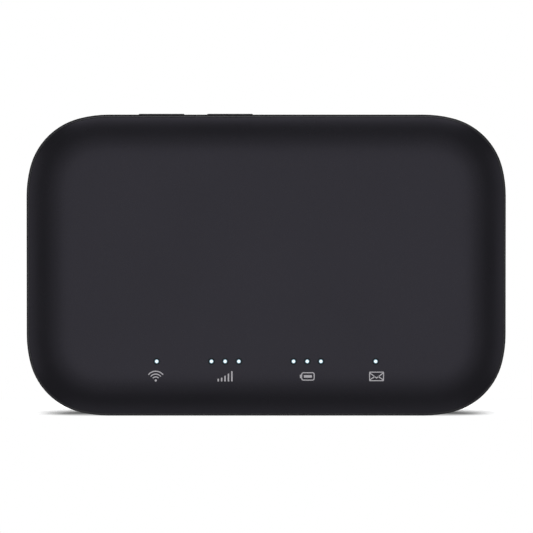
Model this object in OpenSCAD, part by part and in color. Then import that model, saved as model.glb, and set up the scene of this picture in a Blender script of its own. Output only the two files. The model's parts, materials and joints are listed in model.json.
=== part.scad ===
// Pocket mobile hotspot: a rounded slab that opens at the back onto a removable battery.
//
// Every piece is drawn lying down, seen from the front: x to the right, y up the face and
// z out of the face towards the viewer. stand_up() then sets it on its long lower edge.
// The thickness isn't set by one number. It is the stack of layers in the Layers section,
// and every z below is counted from that stack.

/* [Body] */
// Width of the body, left to right
body_w = 107; // [107:0.5:120]
// Height of the body as it stands on its long edge
body_h = 67.2; // [67.2:0.4:80]
// Radius of the flatter arcs that lead into each corner
corner_out_r = 26; // [24:0.5:28]
// Radius of the arc round each corner
corner_in_r = 15.25; // [14:0.25:16]
// Turn of each flatter arc, in degrees
corner_turn = 14; // [10:1:18]
// Distance over which the front and the back curve down to the sides
crown_inset = 11; // [9.5:0.5:12]
// Turn of the tight arc where the sides meet the front and the back, in degrees
edge_turn = 65; // [60:1:70]

/* [Layers] */
// Wall of the front cover
front_wall = 1.5; // [1.2:0.1:1.8]
// Room for shields and indicators in front of the board
front_room = 2.7; // [2.6:0.1:3.4]
// Thickness of the circuit board
board_t = 0.8; // [0.6:0.1:1.2]
// Room for sockets and switches behind the board
rear_room = 1.5; // [1.5:0.1:1.8]
// Floor of the battery bay
bay_floor = 0.7; // [0.5:0.1:1]
// Thickness of the battery
battery_t = 5.8; // [5:0.1:7]
// Gap between the battery and the back cover, filled by foam strips
cover_gap = 0.5; // [0.4:0.1:0.8]
// Wall of the removable back cover
cover_wall = 1.2; // [1:0.1:1.4]

/* [Walls and fits] */
// Side wall of the housing
side_wall = 1.5; // [1.3:0.1:1.6]
// Deck between the side wall and the battery bay
deck_t = 1; // [0.8:0.1:1.2]
// Wall of the battery bay
bay_wall = 1; // [0.8:0.1:1.1]
// Gap round a piece that slides or lifts out
slip_fit = 0.1; // [0.08:0.01:0.12]
// Gap round a key in its opening
key_fit = 0.15; // [0.1:0.01:0.2]
// Gap between the battery and the walls of its bay
battery_fit = 0.25; // [0.2:0.05:0.3]
// Distance from the side of the body to the edge of the board
board_inset = 3; // [2.9:0.1:3.2]
// Height of the tongue that locates the front cover
tongue_h = 0.45; // [0.35:0.05:0.5]
// Height of the lip that locates the back cover
lip_h = 0.85; // [0.6:0.05:0.9]

/* [Battery] */
// Distance from the sides of the body to the battery
battery_side = 10.5; // [10.5:0.5:15.5]
// Distance from the upper and the lower edge of the body to the battery
battery_end = 8.35; // [8.35:0.25:11.6]
// Corner radius of the battery
battery_r = 3; // [2:0.5:4]
// Length of the moulded cap at the battery's contact end
battery_cap_h = 3; // [2.5:0.5:5]
// Place of the battery contacts, right of the middle
contact_x = 27; // [26:0.5:28]
// Spacing of the battery contacts
contact_pitch = 2.5; // [2.3:0.1:2.6]
// Number of battery contacts
contact_count = 4; // [3:1:4]

/* [Keys] */
// Length of each key cap
key_w = 10.3; // [9:0.1:10.6]
// Thickness of each key cap, front to back
key_t = 2.6; // [2.2:0.1:2.8]
// Height of each key cap above the edge
key_proud = 0.2; // [0.1:0.05:0.6]
// Travel of each key
key_travel = 0.25; // [0.15:0.05:0.25]
// Place of the power key, from the middle
power_key_x = -23.4; // [-23.6:0.1:-23]
// Place of the pairing key, from the middle
pairing_key_x = -8.1; // [-8.3:0.1:-7.8]
// Radius of the reset button under the back cover
reset_r = 1.15; // [0.8:0.05:1.2]

/* [Indicators] */
// Height of the row of lights above the lower edge
light_row = 12.3; // [11.5:0.1:14]
// Radius of each light window
light_r = 0.5; // [0.4:0.05:0.7]
// Distance of the outer lights from the middle
light_far = 24.4; // [23:0.1:26]
// Distance of the middle light of each group from the middle
light_mid = 9.15; // [8.5:0.05:10]
// Spacing of the lights in a group
light_pitch = 3.05; // [2.8:0.05:3.4]

/* [Ports and cards] */
// Width of the USB socket's shell
usb_w = 8.94; // [8.9:0.02:9]
// Thickness of the USB socket's shell
usb_t = 3.2; // [3.1:0.02:3.26]
// Sheet of the USB socket's shell
usb_sheet = 0.3; // [0.2:0.05:0.35]
// Depth of the USB socket
usb_depth = 6.25; // [6:0.05:6.3]
// Length of the SIM card
sim_w = 12.3; // [12.2:0.1:12.4]
// Width of the SIM card
sim_h = 8.8; // [8.7:0.1:8.9]
// Thickness of the SIM card
sim_t = 0.67; // [0.6:0.01:0.68]
// Travel of the SIM card out of its holder
sim_travel = 13; // [12:0.5:14]
// Place of the SIM card's right end
sim_x = -6; // [-8:0.5:-4]
// Place of the SIM card's long middle line
sim_y = 2; // [0:0.5:4]

/* [Screws] */
// Radius of the housing screws' shanks
screw_r = 0.8; // [0.7:0.05:0.85]
// Length of the housing screws under their heads
screw_l = 5; // [4.5:0.1:5.5]
// Radius of the screw posts in the front cover
post_r = 2.1; // [1.9:0.05:2.15]
// Radius of the board screws' shanks
board_screw_r = 0.7; // [0.6:0.05:0.75]
// Distance from the upper and the lower edge of the body to the screws at the sides
side_screw_end = 16.6; // [16.1:0.1:17.1]
// Places of the screws along the top
top_screw_x = [-37, 13];
// Places of the screws along the bottom
bottom_screw_x = [-20, 20];

/* [Hidden] */
$fn = 48;

// ---- colours ----
shell_color = [0.2, 0.2, 0.22];
trim_color = [0.12, 0.12, 0.13];
board_color = [0.05, 0.25, 0.18];
steel_color = [0.75, 0.76, 0.78];
gold_color = [0.9, 0.72, 0.35];
chip_color = [0.1, 0.1, 0.11];
pale_color = [0.9, 0.9, 0.86];

// ---- layers, from the back to the front ----
seat_gap = 0.1;
tongue_root = 1;
lip_room = 1;
edge_gap = 0.2;
key_flange_extra = 1;

battery_back = cover_wall + cover_gap;
battery_front = battery_back + battery_t;
floor_back = battery_front + seat_gap;
floor_front = floor_back + bay_floor;
board_back = floor_front + rear_room;
board_front = board_back + board_t;
wall_in = board_front + front_room;
body_t = wall_in + front_wall;

// The keys and the USB socket share one middle plane in the side band.
band_mid = board_back - usb_t / 2;
key_flange_t = key_t + key_flange_extra;
deck_front = band_mid - key_flange_t / 2 - edge_gap;
deck_back = deck_front - deck_t;
back_seam = deck_back - lip_room;
front_seam = band_mid + key_flange_t / 2 + edge_gap + tongue_root;
front_curve = body_t - front_seam;
back_curve = back_seam;

// ---- places across the face ----
half_w = body_w / 2;
half_h = body_h / 2;
battery_w = body_w - 2 * battery_side;
battery_h = body_h - 2 * battery_end;
bay_w = battery_w + 2 * battery_fit;
bay_h = battery_h + 2 * battery_fit;
bay_r = battery_r + battery_fit;
bay_out_w = bay_w + 2 * bay_wall;
bay_out_h = bay_h + 2 * bay_wall;
bay_rim = battery_back + 1.5;
tongue_in = 0.9;
tongue_out = 2.3;
side_screw_x = (bay_out_w / 2 + half_w - tongue_out) / 2;
side_screw_y = half_h - side_screw_end;
end_screw_y = (bay_out_h / 2 + half_h - tongue_out) / 2;
housing_screw_places = concat(
    [for (sx = [-1, 1], sy = [-1, 1]) [sx * side_screw_x, sy * side_screw_y]],
    [for (x = top_screw_x) [x, end_screw_y]],
    [for (x = bottom_screw_x) [x, -end_screw_y]]);
board_screw_side = 11.5;
board_screw_top = 11.6;
board_screw_bottom = 19.6;
board_screw_places = [for (side = [-1, 1], y = [half_h - board_screw_top, board_screw_bottom - half_h])
    [side * (half_w - board_screw_side), y]];
light_y = light_row - half_h;
light_places = concat(
    [-light_far],
    [for (side = [-1, 1], i = [-1 : 1]) side * light_mid + i * light_pitch],
    [light_far]);

// ---- corner arcs ----
// Each corner is a flat arc, a tighter arc and a flat arc, tangent to each other.
corner_c = corner_out_r - (corner_out_r - corner_in_r) * cos(corner_turn);
corner_e = corner_c + (corner_out_r - corner_in_r) * sin(corner_turn);

// Radius of the one arc that follows a corner at a distance in from the sides.
function corner_r(inset) =
    (sqrt(2) * (corner_c - inset) - (corner_in_r - inset)) / (sqrt(2) - 1);

// ---- crown ----
// The section of the front and of the back: a tight arc at the side, then a wide one.
edge_steps = 5;
crown_steps = 6;
function crown_r(depth) =
    (crown_inset * sin(edge_turn) - depth * (1 - cos(edge_turn)))
    / (cos(edge_turn) * sin(edge_turn) - (1 - sin(edge_turn)) * (1 - cos(edge_turn)));
function edge_r(depth) = (depth - crown_r(depth) * (1 - sin(edge_turn))) / sin(edge_turn);
// Point of the wide arc at angle a, sunk below the surface by wall.
function crown_point(depth, a, wall = 0) =
    [crown_inset - (crown_r(depth) - wall) * cos(a),
     depth - crown_r(depth) + (crown_r(depth) - wall) * sin(a)];
// Outer line, from the seam to where the face is flat.
function crown_outside(depth) = concat(
    [for (i = [0 : edge_steps]) let (a = edge_turn * i / edge_steps)
        [edge_r(depth) * (1 - cos(a)), edge_r(depth) * sin(a)]],
    [for (i = [1 : crown_steps]) crown_point(depth, edge_turn + (90 - edge_turn) * i / crown_steps)]);
// Inner line, from where the face is flat back to angle a.
function crown_inside(depth, wall, a) =
    [for (i = [0 : crown_steps]) crown_point(depth, 90 + (a - 90) * i / crown_steps, wall)];
// How far the outer surface lies below the flat of the face, at a distance in from the side.
function crown_drop(depth, inset) =
    crown_r(depth) - sqrt(pow(crown_r(depth), 2) - pow(crown_inset - inset, 2));

// ---- shapes shared by many pieces ----
module stand_up()
    rotate([90, 0, 0])
        translate([0, half_h, -body_t / 2])
            children();

// Box centred at x, y, from z0 to z1.
module block(x, y, w, h, z0, z1)
    translate([x - w / 2, y - h / 2, z0])
        cube([w, h, z1 - z0]);

module disc(x, y, r, z0, z1)
    translate([x, y, z0])
        cylinder(r = r, h = z1 - z0);

module round_rect(w, h, r) {
    square([w, h - 2 * r], center = true);
    square([w - 2 * r, h], center = true);
    for (sx = [-1, 1], sy = [-1, 1])
        translate([sx * (w / 2 - r), sy * (h / 2 - r)])
            circle(r);
}

module round_block(x, y, w, h, r, z0, z1)
    translate([x, y, z0])
        linear_extrude(z1 - z0)
            round_rect(w, h, r);

module pill(w, t) {
    square([w - t, t], center = true);
    for (side = [-1, 1])
        translate([side * (w - t) / 2, 0])
            circle(t / 2);
}

// Draws its 2D child in the x-z plane and pushes it along y, from y0 to y1.
module along_y(x, y0, y1, z)
    translate([x, y1, z])
        rotate([90, 0, 0])
            linear_extrude(y1 - y0)
                children();

// Draws its 2D child in the y-z plane and pushes it along x, from x0 to x1.
module along_x(x0, x1, y, z)
    translate([x0, y, z])
        rotate([90, 0, 90])
            linear_extrude(x1 - x0)
                children();

// Wedge between two directions, used to cut an arc's sector out of its circle.
module wedge(r, from, to)
    polygon([[0, 0], 2 * r * [cos(from), sin(from)], 2 * r * [cos(to), sin(to)]]);

module arc_sector(x, y, r, from, to)
    translate([x, y])
        intersection() {
            circle(r);
            wedge(r, from, to);
        }

// Outline of the body, drawn in by inset: a polygon through the ends of the corner arcs,
// with each arc's sector laid over it.
module outline(inset) {
    flat = corner_turn;
    out_r = corner_out_r - inset;
    in_r = corner_in_r - inset;
    middle = [half_w - corner_c, half_h - corner_c];
    ends = [
        [half_w - inset, half_h - corner_e], middle + in_r * [cos(flat), sin(flat)],
        middle + in_r * [sin(flat), cos(flat)], [half_w - corner_e, half_h - inset]];
    polygon([
        for (q = [[1, 1], [-1, 1], [-1, -1], [1, -1]], i = [0 : 3])
            let (p = ends[q.x * q.y > 0 ? i : 3 - i])
                [q.x * p.x, q.y * p.y]]);
    for (mx = [0, 1], my = [0, 1])
        mirror([mx, 0]) mirror([0, my]) {
            arc_sector(half_w - corner_out_r, half_h - corner_e, out_r, 0, flat);
            arc_sector(middle.x, middle.y, in_r, flat, 90 - flat);
            arc_sector(half_w - corner_e, half_h - corner_out_r, out_r, 90 - flat, 90);
        }
}

// Runs a section round the outline. The section's x is the distance in from the side and
// its y is z in the body.
module arc_run(x, y, r, from, to)
    translate([x, y])
        rotate_extrude(angle = to - from, start = from)
            translate([r, 0])
                mirror([1, 0])
                    children();

module corner_run() {
    flat = corner_turn;
    arc_run(half_w - corner_out_r, half_h - corner_e, corner_out_r, 0, flat) children();
    arc_run(half_w - corner_c, half_h - corner_c, corner_in_r, flat, 90 - flat) children();
    arc_run(half_w - corner_e, half_h - corner_out_r, corner_out_r, 90 - flat, 90) children();
}

module straight_run(half, length)
    translate([half, 0, 0])
        mirror([1, 0, 0])
            rotate([90, 0, 0])
                linear_extrude(length, center = true)
                    children();

module round_the_edge() {
    for (m = [0, 1]) {
        mirror([m, 0, 0]) straight_run(half_w, body_h - 2 * corner_e) children();
        mirror([0, m, 0]) rotate([0, 0, 90]) straight_run(half_h, body_w - 2 * corner_e) children();
    }
    for (mx = [0, 1], my = [0, 1])
        mirror([mx, 0, 0]) mirror([0, my, 0]) corner_run() children();
}

// Sheet-metal can with its open side on the board: dir is 1 in front and -1 behind.
can_sheet = 0.2;
module can(x, y, w, h, z, height, dir)
    translate([x, y, z])
        mirror([0, 0, dir > 0 ? 0 : 1])
            difference() {
                linear_extrude(height) round_rect(w, h, 1);
                translate([0, 0, -1])
                    linear_extrude(height + 1 - can_sheet)
                        round_rect(w - 2 * can_sheet, h - 2 * can_sheet, 1 - can_sheet);
                for (sx = [-1, 1], sy = [-1, 1])
                    translate([sx * (w / 2 - 2.5), sy * (h / 2 - 2.5), 0])
                        cylinder(r = 0.45, h = height + 1);
            }

// ---- front cover ----
rabbet_gap = 0.1;
led_h = 0.5;
guide_t = 0.9;
guide_gap = 0.5;
guide_w = 2 * light_far + 4.2;
guide_h = 2.8;
fence_t = 0.7;
fence_gap = 0.2;
pin_fit = 0.04;
post_bore_extra = 0.02;
board_post_r = 1.9;
rib_t = 0.8;
rib_h = 0.7;
rib_pitch = 12;
rib_l = 2.6;
rib_end = 8;
graphite_t = 0.1;
graphite_side = 15.5;
graphite_w = body_w - 2 * graphite_side;
graphite_h = 27;
graphite_y = half_h - crown_inset - 0.6 - graphite_h / 2;
cup_top = deck_front + 1;
skin = 0.2;
side_post_top = body_t - crown_drop(front_curve, half_w - side_screw_x - post_r) - skin;
end_post_top = body_t - crown_drop(front_curve, half_h - end_screw_y - post_r) - skin;
function post_top(p) = abs(p.y) == end_screw_y ? end_post_top : side_post_top;

module front_section() {
    depth = front_curve;
    inside = crown_r(depth) - front_wall;
    shelf = tongue_h + rabbet_gap;
    turn_in = asin((shelf - (depth - crown_r(depth))) / inside);
    translate([0, front_seam])
        polygon(concat(
            crown_outside(depth),
            crown_inside(depth, front_wall, turn_in),
            [[tongue_in - rabbet_gap, shelf], [tongue_in - rabbet_gap, 0]]));
}

module front_cover() color(shell_color) stand_up() {
    difference() {
        union() {
            round_the_edge() front_section();
            translate([0, 0, wall_in]) linear_extrude(front_wall) outline(crown_inset);
            for (p = housing_screw_places) disc(p.x, p.y, post_r, cup_top, post_top(p));
            for (p = board_screw_places) disc(p.x, p.y, board_post_r, board_front, wall_in + 0.2);
            guide_fence();
            stiffening_ribs();
        }
        for (p = housing_screw_places)
            disc(p.x, p.y, screw_r + post_bore_extra, cup_top - 1, cup_top + screw_l - 0.6);
        for (p = board_screw_places)
            disc(p.x, p.y, board_screw_r + post_bore_extra, board_front - 1, wall_in - 0.2);
        for (x = light_places) disc(x, light_y, light_r, wall_in - 1, body_t + 1);
    }
}

// Low wall round the light guide.
module guide_fence() {
    w = guide_w + 2 * fence_gap;
    h = guide_h + 2 * fence_gap;
    difference() {
        block(0, light_y, w + 2 * fence_t, h + 2 * fence_t, wall_in - guide_gap - guide_t + 0.1, wall_in + 0.2);
        block(0, light_y, w, h, wall_in - guide_gap - guide_t - 1, wall_in + 1);
    }
}

// Ribs inside the front face, above and beside the graphite sheet.
module stiffening_ribs() {
    top = graphite_y + graphite_h / 2 + 1.5;
    reach = graphite_w / 2 - rib_end;
    for (x = [-reach : rib_pitch : reach])
        block(x, top + 1, rib_t, rib_l, wall_in - rib_h, wall_in + 0.2);
    block(0, top, graphite_w, rib_t, wall_in - rib_h, wall_in + 0.2);
    for (side = [-1, 1])
        block(side * (graphite_w / 2 + 1.4), graphite_y - 2, rib_t, graphite_h - rib_end,
            wall_in - rib_h, wall_in + 0.2);
}

// ---- rear housing ----
deck_bite = 0.3;
cup_r = 2.2;
head_r = 1.5;
head_h = 0.9;
head_fit = 0.15;
hook_w = 3;
hook_t = 0.8;
hook_in = 3.1;
hook_slot_w = hook_w + 0.5;
hook_slot_t = 1.2;
hook_to_key = 8.8;
hook_to_contacts = 9.5;
top_hook_x = [power_key_x - hook_to_key, 5, contact_x + hook_to_contacts];
bottom_hook_x = [-25, -12, 12, 25];
connector_w = 12;
connector_h = 4.5;
connector_fit = 0.2;
reset_side = 6.9;
reset_end = 10.8;
reset_x = reset_side - half_w;
reset_y = half_h - reset_end;
lip_t = 0.8;
lip_in = side_wall + slip_fit + lip_t;
usb_recess = 0.4;
sim_reach = 1.5;
sim_window_gap = 1;
notch_w = 9;

// Holds its child at each hook, with x along the wall and y out of the body.
module at_hooks() {
    for (x = top_hook_x) translate([x, half_h]) children();
    for (x = bottom_hook_x) translate([x, -half_h]) rotate(180) children();
    for (mx = [0, 1], my = [0, 1])
        mirror([mx, 0]) mirror([0, my])
            translate([half_w - corner_c, half_h - corner_c])
                rotate(-45)
                    translate([0, corner_in_r])
                        children();
}

module ring_section()
    polygon([
        [0, back_seam], [0, front_seam], [tongue_in, front_seam], [tongue_in, front_seam + tongue_h],
        [tongue_out, front_seam + tongue_h], [tongue_out, front_seam - 0.4],
        [side_wall, front_seam - tongue_root], [side_wall, back_seam]]);

module rear_housing() color(trim_color) stand_up() {
    difference() {
        union() {
            round_the_edge() ring_section();
            translate([0, 0, deck_back]) linear_extrude(deck_t) outline(side_wall - deck_bite);
            round_block(0, 0, bay_out_w, bay_out_h, bay_r + bay_wall, bay_rim, floor_front);
            for (p = housing_screw_places) disc(p.x, p.y, cup_r, deck_back, cup_top);
            deck_ribs();
        }
        round_block(0, 0, bay_w, bay_h, bay_r, bay_rim - 1, floor_back);
        for (p = housing_screw_places) {
            disc(p.x, p.y, screw_r + head_fit, deck_back - 1, cup_top + 1);
            disc(p.x, p.y, head_r + head_fit, deck_back - 1, deck_front);
        }
        hook_slots();
        key_openings();
        along_y(0, -half_h - 1, -half_h + side_wall + 0.5, band_mid)
            pill(usb_w + 2 * key_fit, usb_t + 2 * key_fit);
        connector_window();
        sim_window();
        finger_scoop();
        disc(reset_x, reset_y, reset_r + key_fit, deck_back - 1, deck_front + 1);
        pry_notch();
    }
}

// Low ribs on the back of the deck, from the bay to the back cover's lip.
module deck_ribs() {
    reach = half_w - lip_in - 0.3 - bay_out_w / 2;
    for (side = [-1, 1], y = [-9, 0, 9])
        block(side * (bay_out_w / 2 + reach / 2), y, reach, rib_t, deck_back - 0.6, deck_back + 0.2);
}

module hook_slots()
    translate([0, 0, deck_back - 1])
        linear_extrude(deck_t + 2)
            at_hooks()
                translate([-hook_slot_w / 2, -hook_in - hook_slot_t + slip_fit])
                    square([hook_slot_w, hook_slot_t]);

module key_openings()
    for (x = [power_key_x, pairing_key_x])
        along_y(x, half_h - side_wall - 0.5, half_h + 1, band_mid)
            pill(key_w + 2 * key_fit, key_t + 2 * key_fit);

module connector_window() {
    reach = bay_wall + connector_h + connector_fit;
    block(contact_x, bay_h / 2 + reach / 2 - 0.5, connector_w + 2 * connector_fit, reach + 1 - bay_wall,
        bay_rim - 1, floor_front + 1);
}

module sim_window() {
    left = sim_x - sim_w - sim_travel - sim_window_gap;
    right = sim_x + sim_window_gap;
    block((left + right) / 2, sim_y, right - left, sim_h + 4, floor_back - 1, floor_front + 1);
}

// Dip in the left wall of the bay for lifting the battery's edge.
module finger_scoop() {
    scoop_r = 10;
    scoop_depth = 2.8;
    translate([-bay_out_w / 2 - 1, 0, bay_rim + scoop_depth - scoop_r])
        rotate([0, 90, 0])
            cylinder(r = scoop_r, h = bay_wall + 2 - 0.5);
}

// Nick in the seam where a nail lifts the back cover.
module pry_notch()
    block(half_w - corner_e - notch_w, -half_h, notch_w, 1.6, back_seam - 1, back_seam + 0.7);

// ---- back cover ----
module back_section() {
    depth = back_curve;
    lip_out = lip_in - lip_t;
    inside = crown_r(depth) - cover_wall;
    turn_in = acos((crown_inset - lip_in) / inside);
    translate([0, back_seam])
        mirror([0, 1])
            polygon(concat(
                crown_outside(depth),
                crown_inside(depth, cover_wall, turn_in),
                [[lip_in, -lip_h], [lip_out, -lip_h], [lip_out, 0]]));
}

module back_cover() color(shell_color) stand_up() {
    round_the_edge() back_section();
    linear_extrude(cover_wall) outline(crown_inset);
    cover_hooks();
    cover_ribs();
}

// Each hook passes through its slot, and its nib stands just in front of the deck.
module cover_hooks() {
    nib_h = 0.5;
    root = crown_drop(back_curve, hook_in) + cover_wall / 2;
    top = deck_front + nib_h + slip_fit;
    translate([0, 0, root])
        linear_extrude(top - root)
            at_hooks()
                translate([-hook_w / 2, -hook_in - hook_t])
                    square([hook_w, hook_t]);
    translate([0, 0, deck_front + slip_fit])
        linear_extrude(nib_h)
            at_hooks()
                translate([-hook_w / 2, -hook_in - hook_t])
                    square([hook_w, hook_t + slip_fit / 2]);
}

// Shallow ribs across the inside of the cover's two ends.
module cover_ribs() {
    pitch = 7;
    length = 2;
    gap = 0.6;
    for (side = [-1, 1], i = [-2 : 2])
        block(side * (bay_out_w / 2 + gap + length / 2), i * pitch, length, rib_t,
            cover_wall - 0.3, bay_rim - 1.2);
}

foam_side = 20;
foam_end = 11.25;
foam_h = 6;
foam_r = 1;
foam_gap = 0.05;

module cover_foam() color([0.25, 0.25, 0.25]) stand_up()
    for (side = [-1, 1])
        round_block(0, side * (battery_h / 2 - foam_end), battery_w - 2 * foam_side, foam_h, foam_r,
            cover_wall, battery_back - foam_gap);

// ---- battery ----
chamfer = 0.5;
pad_w = 1.6;
pad_t = 0.3;
pad_z0 = battery_front - 2.8;
pad_z1 = battery_front - 0.4;
contact_places = [for (i = [0 : contact_count - 1])
    contact_x + (i - (contact_count - 1) / 2) * contact_pitch];
cap_y = battery_h / 2 - battery_cap_h;

module battery_shape()
    hull() {
        round_block(0, 0, battery_w, battery_h, battery_r,
            battery_back + chamfer, battery_front - chamfer, $fn = 32);
        round_block(0, 0, battery_w - 2 * chamfer, battery_h - 2 * chamfer, battery_r - chamfer,
            battery_back, battery_front, $fn = 32);
    }

module battery_cell() color([0.16, 0.16, 0.18]) stand_up()
    intersection() {
        battery_shape();
        block(0, cap_y - battery_h / 2, battery_w + 2, battery_h, battery_back - 1, battery_front + 1);
    }

module battery_cap() color(chip_color) stand_up()
    difference() {
        battery_shape();
        block(0, cap_y - battery_h / 2, battery_w + 2, battery_h, battery_back - 1, battery_front + 1);
        for (x = contact_places)
            block(x, battery_h / 2, pad_w, 2 * pad_t, pad_z0, pad_z1);
    }

module battery_pads() color(gold_color) stand_up()
    for (x = contact_places)
        block(x, battery_h / 2 - pad_t / 2, pad_w, pad_t, pad_z0, pad_z1);

// ---- battery connector ----
blade_w = 1.2;
blade_slot_w = 1.5;
blade_t = 0.25;
connector_y = bay_h / 2 + connector_h / 2;
connector_lap = 3.3;
connector_back = floor_front - connector_lap;
blade_clear = 0.1;
slot_z0 = pad_z0 - blade_clear;
slot_z1 = pad_z1 + blade_clear;
slot_y = 0.4;
slot_h = 1.4;
blade_root = 1.1;
blade_bend = 0.3;
blade_reach = 0.05;

module battery_connector() color(chip_color) stand_up()
    difference() {
        block(contact_x, connector_y, connector_w, connector_h, connector_back, board_back);
        for (x = contact_places)
            block(x, bay_h / 2 + slot_y, blade_slot_w, slot_h, slot_z0, slot_z1);
    }

// Bent strip whose tip bears on the battery's contact.
module battery_blades() color(gold_color) stand_up() {
    root = bay_h / 2 + blade_root;
    shoulder = root - blade_bend;
    tip = battery_h / 2 + blade_reach;
    mid = (pad_z0 + pad_z1) / 2;
    low = slot_z0 + blade_clear;
    high = slot_z1 - blade_clear;
    flat = 2 / 3 * blade_bend;
    for (x = contact_places)
        along_x(x - blade_w / 2, x + blade_w / 2, 0, 0)
            polygon([
                [root, low], [shoulder, low], [tip, mid - blade_bend], [tip, mid + blade_bend],
                [shoulder, high], [root, high], [root, high - blade_t],
                [tip + blade_t, mid + flat], [tip + blade_t, mid - flat], [root, low + blade_t]]);
}

// ---- board ----
usb_front_y = -half_h + usb_recess;
usb_back_y = usb_front_y + usb_depth;
leg_w = 1.2;
leg_places = [for (side = [-1, 1], y = [usb_back_y - 1.4]) [side * (usb_w / 2 - usb_sheet / 2), y]];
post_clear = 0.5;

module main_board() color(board_color) stand_up()
    difference() {
        round_block(0, 0, body_w - 2 * board_inset, body_h - 2 * board_inset, corner_r(board_inset),
            board_back, board_front);
        for (p = housing_screw_places)
            disc(p.x, p.y, post_r + post_clear, board_back - 1, board_front + 1);
        for (p = board_screw_places)
            disc(p.x, p.y, board_screw_r + 0.1, board_back - 1, board_front + 1);
        for (p = leg_places)
            block(p.x, p.y, usb_sheet + 0.3, leg_w + 0.3, board_back - 1, board_front + 1);
    }

module indicator_leds() color(pale_color) stand_up()
    for (x = light_places)
        block(x, light_y, 1.6, 0.8, board_front, board_front + led_h);

guide_back = wall_in - guide_gap - guide_t;

module light_baffle() color(chip_color) stand_up()
    difference() {
        block(0, light_y, guide_w, guide_h, board_front, guide_back);
        for (x = light_places)
            block(x, light_y, 2.1, 1.4, board_front - 1, guide_back + 1);
    }

module light_guide() color([0.85, 0.93, 1]) stand_up() {
    block(0, light_y, guide_w, guide_h, guide_back, guide_back + guide_t);
    for (x = light_places)
        disc(x, light_y, light_r - pin_fit, guide_back + guide_t - 0.2, body_t - 0.05);
}

// Each shield has its place on the board, its width and its height. The ones in front lie
// under the graphite sheet. A chip's place is counted from the middle of its shield.
shield_h = 2;
chip_h = 0.9;
baseband_end = -2;
rf_start = 3;
rf_rim = 1;
charger_side = 31.5;
baseband_y = 8;
baseband_h = 28;
rf_y = 12;
rf_h = 20;
wifi_y = -7;
wifi_h = 13;
baseband = [(baseband_end - graphite_w / 2) / 2, baseband_y, graphite_w / 2 + baseband_end, baseband_h];
rf = [(graphite_w / 2 - rf_rim + rf_start) / 2, rf_y, graphite_w / 2 - rf_rim - rf_start, rf_h];
wifi = [rf.x, wifi_y, rf[2], wifi_h];
charger = [half_w - charger_side, -12, 18, 12];
charger_h = 1.2;
baseband_die = [-7, 0, 14, 14];
memory_die = [9, 4, 11.5, 13];
power_die = [9, -9, 6, 6];
rf_die = [-8, 0, 8, 8];
amplifier_die = [6, 0, 6, 4];
amplifier_pitch = 6;
wifi_die = [-6, 0, 9, 9];
charger_die = [-3, 0, 4, 4];
charger_chip_h = 0.8;
inductor = 3;
inductor_h = 1.1;
inductor_pitch = 4;
inductor_gap = 1.5;
capacitor = [0.8, 1.6, 0.8];
capacitor_x = -16;
capacitor_gap = 3.5;
capacitor_pitch = 2;
baseband_pad = [20, 18];
rf_pad = [16, 12];

module front_can(shield)
    can(shield.x, shield.y, shield[2], shield[3], board_front, shield_h, 1);

module baseband_shield() color(steel_color) stand_up() front_can(baseband);
module rf_shield() color(steel_color) stand_up() front_can(rf);
module wifi_shield() color(steel_color) stand_up() front_can(wifi);

module charger_shield() color(steel_color) stand_up()
    can(charger.x, charger.y, charger[2], charger[3], board_back, charger_h, -1);

module front_chip(shield, die)
    block(shield.x + die.x, shield.y + die.y, die[2], die[3], board_front, board_front + chip_h);

module baseband_chip() color(chip_color) stand_up() front_chip(baseband, baseband_die);
module memory_chip() color(chip_color) stand_up() front_chip(baseband, memory_die);
module power_chip() color(chip_color) stand_up() front_chip(baseband, power_die);
module wifi_chip() color(chip_color) stand_up() front_chip(wifi, wifi_die);

module rf_chips() color(chip_color) stand_up() {
    front_chip(rf, rf_die);
    for (i = [-1 : 1])
        translate([0, i * amplifier_pitch]) front_chip(rf, amplifier_die);
}

module charger_chip() color(chip_color) stand_up()
    block(charger.x + charger_die.x, charger.y + charger_die.y, charger_die[2], charger_die[3],
        board_back - charger_chip_h, board_back);

// Two rows of two, beside the charger's shield.
module inductors() color([0.3, 0.3, 0.32]) stand_up() {
    left = charger.x + charger[2] / 2 + inductor_gap + inductor / 2;
    for (col = [0, 1], row = [-0.5, 0.5])
        block(left + col * inductor_pitch, charger.y + row * inductor_pitch, inductor, inductor,
            board_back - inductor_h, board_back);
}

// A row under the baseband shield's lower edge.
module capacitors() color([0.7, 0.55, 0.35]) stand_up()
    for (i = [0 : 8])
        block(capacitor_x + i * capacitor_pitch, baseband.y - baseband[3] / 2 - capacitor_gap,
            capacitor.x, capacitor.y, board_front, board_front + capacitor.z);

module graphite_sheet() color([0.3, 0.3, 0.33]) stand_up()
    block(0, graphite_y, graphite_w, graphite_h, wall_in - graphite_t, wall_in);

module thermal_pads() color([0.6, 0.75, 0.8]) stand_up() {
    block(baseband.x, baseband.y, baseband_pad.x, baseband_pad.y,
        board_front + shield_h, wall_in - graphite_t);
    block(rf.x, rf.y, rf_pad.x, rf_pad.y, board_front + shield_h, wall_in - graphite_t);
}

// ---- USB socket ----
tongue_w = 6.7;
tongue_t = 0.7;
pin_count = 12;
pin_pitch = 0.5;

module usb_shell() color(steel_color) stand_up() {
    difference() {
        along_y(0, usb_front_y, usb_back_y, band_mid) pill(usb_w, usb_t);
        along_y(0, usb_front_y - 1, usb_back_y - usb_sheet, band_mid)
            pill(usb_w - 2 * usb_sheet, usb_t - 2 * usb_sheet);
    }
    for (p = leg_places)
        block(p.x, p.y, usb_sheet, leg_w, band_mid, board_front);
}

module usb_tongue() color(chip_color) stand_up() {
    back = usb_back_y - usb_sheet;
    along_y(0, back - 1.4, back, band_mid)
        pill(usb_w - 2 * usb_sheet - 0.04, usb_t - 2 * usb_sheet - 0.04);
    along_y(0, usb_front_y + 0.7, back - 1, band_mid)
        square([tongue_w, tongue_t], center = true);
}

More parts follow.
